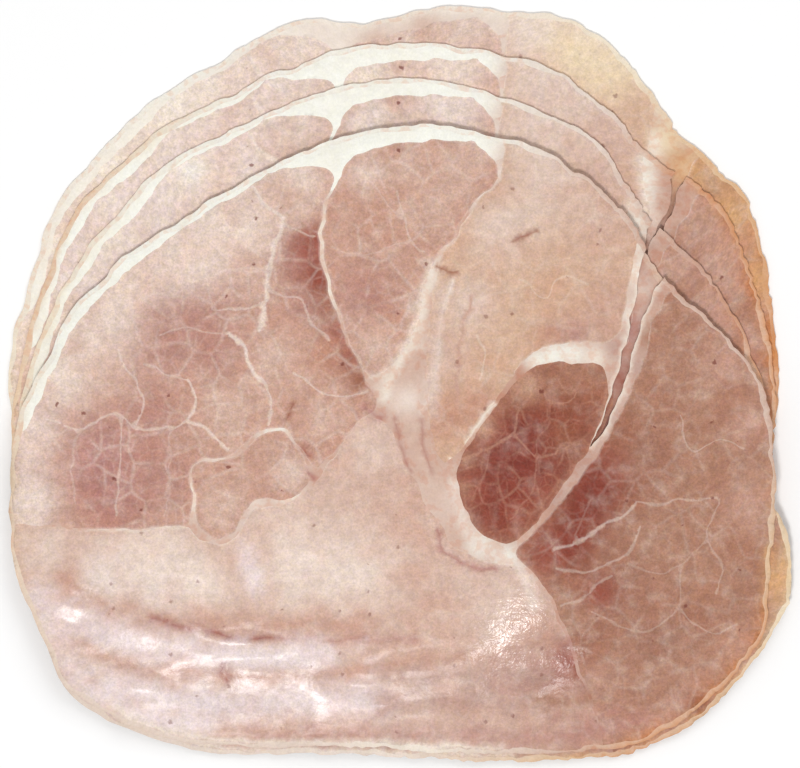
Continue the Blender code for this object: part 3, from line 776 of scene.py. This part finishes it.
def warped(template, layer):
    """The template's places on a slice, with that slice's own ragged edge."""
    directions, reach = FRONT.polar(template.places)
    share = reach / FRONT.radius(directions)
    around = np.column_stack((np.cos(directions), np.sin(directions))) * 80
    torn = 0.04 + 0.16 * eased(np.cos(directions + np.radians(25)) * 2)  # most at the right
    ragged = field("edge", around, layer.index) + torn * field("tear", around, layer.index)
    near_edge = eased((share - 0.93) / 0.07)
    radius = layer.radius(directions)
    return layer.place(directions, share * radius + np.minimum(ragged, MOST_TEAR) * near_edge)


def relief(template, layer):
    """Height of the upper face above an even slice: crowned muscles, sunken seams and a rounded edge."""
    rise = CROWN * (1 - np.exp(-template.to_border / EDGE_REACH))
    rise += field("face", template.places, layer.index)
    rise -= 0.04 * template.vein_strength * np.exp(-((template.to_vein / 3) ** 2))
    return rise - EDGE_ROUNDING * np.exp(-((template.to_edge / EDGE_REACH) ** 2))


def heights(places, layer):
    """Height of the slice's underside."""
    sway = field("sway", places)
    for x, y, radius, height in FOLDS:
        sway += height / FRONT.index * bump(places, x, y, radius)
    sway = LEAST_SWAY + SWAY_BLEND * np.logaddexp(0, (sway - LEAST_SWAY) / SWAY_BLEND)
    rise = layer.rise - drop(places) + sway * layer.index
    if layer is FRONT:
        rise -= SAG * eased((beyond(places, SLICES[3]) + 1.5) / 5)
    return np.maximum(rise, LEAST_RISE)


def rind_tone(layer, places):
    """The rind's colour for each place's direction."""
    stops = RIND_TONES[layer.name]
    angles = np.radians([angle for angle, paint in stops])
    colours = np.array([linear(paint) for angle, paint in stops])
    directions, _ = layer.polar(places)
    return np.column_stack([np.interp(directions, angles, colours[:, i], period=2 * np.pi) for i in range(3)])


def over(colour, share, paint):
    """The colour with that share of a paint laid over it."""
    return colour + share[:, None] * (linear(paint) - colour)


def brushed(colour, places, strokes):
    """The colour with soft strokes laid over it."""
    for x, y, radius, paint in strokes:
        colour = over(colour, STROKE_STRENGTH * bump(places, x, y, radius), paint)
    return colour


def tones(template, layer, places, piece):
    """Each vertex's colour."""
    colour = np.tile(linear(MUSCLE_BASES[piece]), (len(places), 1))
    colour = brushed(colour, template.places, STROKES.get(piece, ()))
    # the bands: seams and streaks of the meat, and on the hanging lower part also painted shade and painted
    # sheen
    if piece not in UNBANDED:
        ragged = 1 + field("band_edge", template.places)
        for reach, (width, paint, points) in zip(template.to_bands, BANDS, strict=True):
            colour = over(colour, BAND_STRENGTH * np.exp(-((reach * ragged) ** 2)), paint)
    # slice strokes, among them painted shade on the hidden slice under the front slice's split
    if piece != "fat_cap" or layer is SLICES[0]:
        colour = brushed(colour, places, SLICE_STROKES.get(layer.name, ()))
    if piece == "eye_muscle":
        colour = over(colour, 0.7 * np.exp(-template.to_border / 2.4), TAN)
    if layer is FRONT and piece == "seam_fat":
        colour = over(colour, 0.8 * np.exp(-((template.to_split / 0.6) ** 2)), CREAM)
    rind = rind_tone(layer, places)
    depth = np.clip(1.2 + field("rind_depth", places), 0.5, 2.4)
    share = np.exp(-np.maximum(template.to_edge - 0.3, 0) / depth)
    if piece == "rind":
        share = np.maximum(share, 0.75)
    return colour + (share * RIND_STRENGTH)[:, None] * (rind - colour)


def write_attribute(mesh, name, kind, values):
    attribute = mesh.attributes.new(name, kind, "POINT")
    member = {"FLOAT": "value", "FLOAT_VECTOR": "vector", "FLOAT_COLOR": "color"}[kind]
    attribute.data.foreach_set(member, np.ascontiguousarray(values, np.float32).ravel())


def rim_edges(faces):
    """The directed edges that only one of the triangles uses."""
    edges = np.vstack((faces[:, [0, 1]], faces[:, [1, 2]], faces[:, [2, 0]]))
    span = edges.max() + 1
    keys = edges[:, 0].astype(np.int64) * span + edges[:, 1]
    back = edges[:, 1].astype(np.int64) * span + edges[:, 0]
    return edges[~np.isin(keys, back)]


def make_piece(template, layer, piece, places, floor):
    """One muscle, fat or rind piece of a slice, as a closed mesh."""
    chosen = template.kind == piece
    if layer is FRONT:
        chosen &= ~template.in_split
    elif layer.name in SLIT_SLICES:
        chosen &= ~template.in_slit
    faces = template.faces[chosen]
    used, faces = np.unique(faces, return_inverse=True)
    faces = faces.reshape(-1, 3)
    top = floor + SLICE_THICKNESS + relief(template, layer)
    upper = np.column_stack((places[used], top[used]))
    lower = np.column_stack((places[used], floor[used]))
    count = len(used)
    walls = [(b, a, a + count, b + count) for a, b in rim_edges(faces)]
    mesh = bpy.data.meshes.new(f"{layer.name}_{piece}_meat")
    polygons = faces.tolist() + (faces[:, ::-1] + count).tolist() + walls
    mesh.from_pydata(np.vstack((upper, lower)) * MM, [], polygons)
    mesh.shade_smooth()
    mesh.set_sharp_from_angle(angle=SHARP_ANGLE)

    flat = np.column_stack((template.places[used], np.full(count, layer.index * TEXTURE_STEP)))
    beneath = flat + (0, 0, SLICE_THICKNESS)
    write_attribute(mesh, "flat", "FLOAT_VECTOR", np.vstack((flat, beneath)))
    colour = tones(template, layer, places, piece)[used]
    colour = np.column_stack((colour, np.ones(count)))
    write_attribute(mesh, "tone", "FLOAT_COLOR", np.vstack((colour, colour)))
    for name, values in (
        ("vein", template.to_vein), ("vein_strength", template.vein_strength),
        ("seam", template.to_border + (CLEAN_FAT if piece == "fat_cap" else 0)),
        ("wet", wetness(places)),
        ("beads", LEAST_BEADS + MORE_BEADS * bump(places, *BEAD_PATCH)),
        ("netting", np.full(len(places), NETTING.get(piece, 1.0))),
    ):
        write_attribute(mesh, name, "FLOAT", np.tile(values[used], 2))
    body = bpy.data.objects.new(f"{layer.name}_{piece}_meat", mesh)
    bpy.context.scene.collection.objects.link(body)
    return body


def wetness(places):
    """How wet each place is; 1 is fully wet."""
    film = np.full(len(places), LEAST_WETNESS)
    for x, y, radius, depth in WET_PATCHES:
        film = np.maximum(film, depth * bump(places, x, y, radius))
    return film


# -------------------- materials


class Shader:
    """A material and short calls that add nodes to it."""

    def __init__(self, name):
        self.material = bpy.data.materials.new(name)
        self.material.use_nodes = True
        self.tree = self.material.node_tree
        self.principled = self.tree.nodes["Principled BSDF"]

    def node(self, kind, inputs=None, **settings):
        made = self.tree.nodes.new(kind)
        for name, value in settings.items():
            setattr(made, name, value)
        for name, value in (inputs or {}).items():
            self.put(made.inputs[name], value)
        return made

    def put(self, socket, value):
        if isinstance(value, bpy.types.NodeSocket):
            self.tree.links.new(value, socket)
        else:
            socket.default_value = value

    def math(self, operation, first, second):
        return self.node("ShaderNodeMath", {0: first, 1: second}, operation=operation).outputs[0]

    def times(self, first, second):
        return self.math("MULTIPLY", first, second)

    def plus(self, first, second):
        return self.math("ADD", first, second)

    def attribute(self, name, output="Fac"):
        return self.node("ShaderNodeAttribute", attribute_name=name).outputs[output]

    def remap(self, value, low, high, to_low=0.0, to_high=1.0):
        """The value carried from one range to another, with soft ends."""
        inputs = {"Value": value, "From Min": low, "From Max": high, "To Min": to_low, "To Max": to_high}
        made = self.node("ShaderNodeMapRange", inputs, interpolation_type="SMOOTHSTEP")
        return made.outputs["Result"]

    def noise(self, places, scale, detail=3.0, roughness=0.5, output="Fac"):
        inputs = {"Vector": places, "Scale": scale, "Detail": detail, "Roughness": roughness}
        return self.node("ShaderNodeTexNoise", inputs).outputs[output]

    def cells(self, places, scale, feature, output="Distance"):
        inputs = {"Vector": places, "Scale": scale}
        made = self.node("ShaderNodeTexVoronoi", inputs, voronoi_dimensions="2D", feature=feature)
        return made.outputs[output]

    def vector(self, operation, first, second):
        made = self.node("ShaderNodeVectorMath", {0: first, 1: second}, operation=operation)
        return made.outputs["Vector"]

    def mix(self, factor, first, second, blend="MIX"):
        inputs = {0: factor, 6: first, 7: second}
        return self.node("ShaderNodeMix", inputs, data_type="RGBA", blend_type=blend).outputs[2]

    def tinted(self, colour, tint):
        return self.mix(1.0, colour, tint, "MULTIPLY")

    def warp(self, places, scale, reach):
        """The places, pushed about by a noise of that scale by up to half the reach."""
        push = self.vector("SUBTRACT", self.noise(places, scale, 2.0, output="Color"), (0.5, 0.5, 0.5))
        return self.vector("ADD", places, self.vector("MULTIPLY", push, (reach, reach, reach)))

    def roughen(self, socket, height):
        bumpy = {"Height": height, "Strength": BUMP_STRENGTH, "Distance": BUMP_DEPTH}
        self.put(self.principled.inputs[socket], self.node("ShaderNodeBump", bumpy).outputs[0])


def line_mask(shader, places, scale, width):
    """Soft lines of about that half width, in millimetres, between cells."""
    gap = shader.math("DIVIDE", shader.cells(places, scale, "DISTANCE_TO_EDGE"), scale)
    return shader.remap(gap, width, 0.0)


def marbled(shader, places, colour, bundle, line_width, variety):
    """Bundles of fibres: cells of slightly different tones, and how much of a pale line lies between them."""
    bent = shader.warp(shader.warp(places, 0.1, 3.6), 0.45, bundle * 0.07)
    chosen = shader.cells(bent, 1 / bundle, "F1", "Color")
    shade = shader.node("ShaderNodeSeparateColor", {0: chosen}).outputs[0]
    deeper = shader.tinted(colour, (0.9, 0.76, 0.73, 1))
    colour = shader.mix(shader.times(shade, variety), colour, deeper)
    patchy = shader.remap(shader.noise(places, 0.16, 2.0), 0.35, 0.62, 0.2, 1.0)
    wide = line_mask(shader, bent, 1 / bundle, line_width)
    thin = shader.times(line_mask(shader, bent, 2.3 / bundle, line_width * 0.6), 0.4)
    return colour, shader.times(shader.math("MAXIMUM", wide, thin), patchy)


def flesh(name, marbling, bundle, line_width, variety, line_colour, grain, specks, roughness, coat):
    """Meat or fat: a toned ground with marbling, veins, grain and a moist skin."""
    shader = Shader(name)
    noise, remap, mix = shader.noise, shader.remap, shader.mix
    times, plus, attribute = shader.times, shader.plus, shader.attribute
    places = attribute("flat", "Vector")
    tone = attribute("tone", "Color")
    wet = attribute("wet")
    lean = marbling > 0

    broad = noise(places, 0.1, 3.0)
    blotch = noise(places, 0.22, 3.0, 0.5)
    fine = noise(places, 1.7, 6.0, 0.75)
    redder = shader.tinted(tone, (0.97, 0.9, 0.87, 1) if lean else (0.98, 0.96, 0.94, 1))
    paler = mix(0.25, tone, (*linear(CREAM), 1))
    colour = mix(remap(broad, 0.4, 0.7), tone, redder)
    colour = mix(remap(blotch, 0.45, 0.75, 0.0, 0.6), colour, paler)

    lines = 0.0
    if lean:
        colour, lines = marbled(shader, places, colour, bundle, line_width, variety)
        lines = times(lines, times(attribute("netting"), marbling))
        ragged = remap(noise(places, 0.4, 3.0), 0.3, 0.7, 0.6, 1.7)
        reach = times(attribute("vein"), ragged)
        vein = times(remap(reach, 2.4, 0.3), attribute("vein_strength"))
        lines = shader.math("MAXIMUM", lines, vein)
        skin = remap(attribute("seam"), 0.7, 0.0, 0.0, 0.4)
        lines = shader.math("MAXIMUM", lines, skin)
        pale = mix(0.75, colour, (*linear(line_colour), 1))
        colour = mix(lines, colour, pale)
    else:
        near = remap(attribute("seam"), 5.0, 4.0, 0.0, 0.7)
        mottle = times(remap(noise(places, 0.5, 4.0), 0.45, 0.62), near)
        colour = mix(mottle, colour, shader.tinted(colour, (0.9, 0.74, 0.68, 1)))

    # fine grain, in lightness and in hue
    shade = remap(fine, 0.3, 0.7, 1 - grain, 1 + grain)
    mottling = noise(places, 0.5, 5.0, 0.65)
    shade = times(shade, remap(mottling, 0.3, 0.7, 1 - grain * 0.8, 1 + grain * 0.8))
    warm = remap(noise(places, 0.8, 4.0, 0.7), 0.35, 0.65, 1 - grain * 0.5, 1 + grain * 0.5)
    tint = {0: shade, 1: shade, 2: times(shade, warm)}
    colour = shader.tinted(colour, shader.node("ShaderNodeCombineXYZ", tint).outputs[0])

    # small dark vessels
    if specks:
        bent = shader.warp(places, 1.1, 1.3)
        cells = {"Vector": bent, "Scale": SPECK_DENSITY}
        spot = shader.node("ShaderNodeTexVoronoi", cells, voronoi_dimensions="2D")
        reach = shader.math("DIVIDE", spot.outputs["Distance"], SPECK_DENSITY)
        chance = shader.node("ShaderNodeSeparateColor", {0: spot.outputs["Color"]}).outputs[0]
        size = remap(chance, 0.68, 1.0, -0.1, 0.62)
        dot = remap(shader.math("SUBTRACT", reach, size), 0.12, -0.35)
        colour = mix(times(dot, specks), colour, (*linear(MAROON), 1))

    # a moist skin, with a film of juice over it that has a softer relief of its own
    patch = remap(noise(places, 0.25, 4.0, 0.6), 0.35, 0.65, 0.08, -0.08)
    film = remap(noise(places, 0.25, 3.0, 0.6), 0.25, 0.75, 0.4, 1.0)
    for socket, value in (
        ("Base Color", colour),
        ("Roughness", plus(plus(patch, times(wet, -0.14)), roughness + 0.1)),
        ("IOR", 1.4), ("Specular IOR Level", 0.22), ("Coat Roughness", 0.22),
        ("Coat Weight", times(times(film, wet), coat)),
    ):
        shader.put(shader.principled.inputs[socket], value)
    low = noise(shader.vector("MULTIPLY", places, (0.35, 1.0, 1.0)), 0.24, 1.0, 0.5)
    beads = times(noise(places, 0.75, 2.0, 0.6), attribute("beads"))
    film_height = plus(times(low, 0.4), beads)
    shader.roughen("Coat Normal", film_height)
    height = plus(plus(film_height, times(fine, 0.3)), times(lines, -0.08))
    shader.roughen("Normal", height)
    return shader.material


def make_materials():
    """One for each slot: marbling, bundle, line width, variety, lines, grain, specks, roughness, coat."""
    looks = {
        "rose_lean": (0.36, 7.5, 0.8, 0.4, OAT, 0.15, 0.75, 0.34, 0.75),
        "pale_lean": (0.16, 8.0, 0.8, 0.2, CREAM, 0.12, 0.5, 0.32, 0.9),
        "dark_lean": (0.5, 5.2, 0.6, 0.9, FAWN, 0.16, 0.8, 0.3, 0.5),
        "fat": (0.0, 0.0, 0.0, 0.0, CREAM, 0.05, 0.0, 0.36, 0.35),
        "rind": (0.0, 0.0, 0.0, 0.0, CREAM, 0.06, 0.0, 0.45, 0.2),
    }
    return {slot: flesh(slot, *look) for slot, look in looks.items()}


# -------------------- stage


def make_floor():
    mesh = bpy.data.meshes.new("floor")
    level = CAD_BOX[0][2] - FLOOR_GAP
    corners = [(x * FLOOR_REACH, y * FLOOR_REACH, level) for x, y in ((-1, -1), (1, -1), (1, 1), (-1, 1))]
    mesh.from_pydata(corners, [], [(0, 1, 2, 3)])
    floor = bpy.data.objects.new("floor", mesh)
    bpy.context.scene.collection.objects.link(floor)
    shader = Shader("pale_floor")
    shader.principled.inputs["Base Color"].default_value = (0.93, 0.93, 0.93, 1)
    shader.principled.inputs["Roughness"].default_value = 0.8
    mesh.materials.append(shader.material)


def add_light(name, place, size, power):
    """A soft square light that faces the portion."""
    lamp = bpy.data.lights.new(name, "AREA")
    lamp.size = size
    lamp.energy = power
    light = bpy.data.objects.new(name, lamp)
    light.location = place
    light.rotation_euler = (-Vector(place)).to_track_quat("-Z", "Y").to_euler()
    bpy.context.scene.collection.objects.link(light)


def make_light():
    world = bpy.data.worlds.new("studio")
    world.use_nodes = True
    world.node_tree.nodes["Background"].inputs["Color"].default_value = (1, 1, 1, 1)
    world.node_tree.nodes["Background"].inputs["Strength"].default_value = SURROUNDINGS
    bpy.context.scene.world = world
    for settings in LIGHTS:
        add_light(*settings)


def make_camera():
    camera = bpy.data.cameras.new("camera")
    camera.sensor_width = SENSOR_WIDTH
    in_focus = CAD_BOX[1][2] * 0.8  # the level at which the view is that wide
    camera.lens = SENSOR_WIDTH * (CAMERA_HEIGHT - in_focus) / VIEW_WIDTH
    eye = bpy.data.objects.new("camera", camera)
    eye.location = (0, 0, CAMERA_HEIGHT)
    bpy.context.scene.collection.objects.link(eye)
    bpy.context.scene.camera = eye


def main():
    make_camera()
    make_light()
    make_floor()
    bpy.context.scene.view_settings.view_transform = "Standard"
    materials = make_materials()
    slots = {entry["node"]: entry["material_slot"] for entry in frame["record"]["subparts"]}
    template = Template()
    for layer in SLICES:
        places = warped(template, layer)
        floor = heights(places, layer)
        for piece in MUSCLE_BASES:
            node = f"{layer.name}_{piece}"
            made = make_piece(template, layer, piece, places, floor)
            made.data.materials.append(materials[slots[node]])
            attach(made, layer.name)
            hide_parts(node)


main()
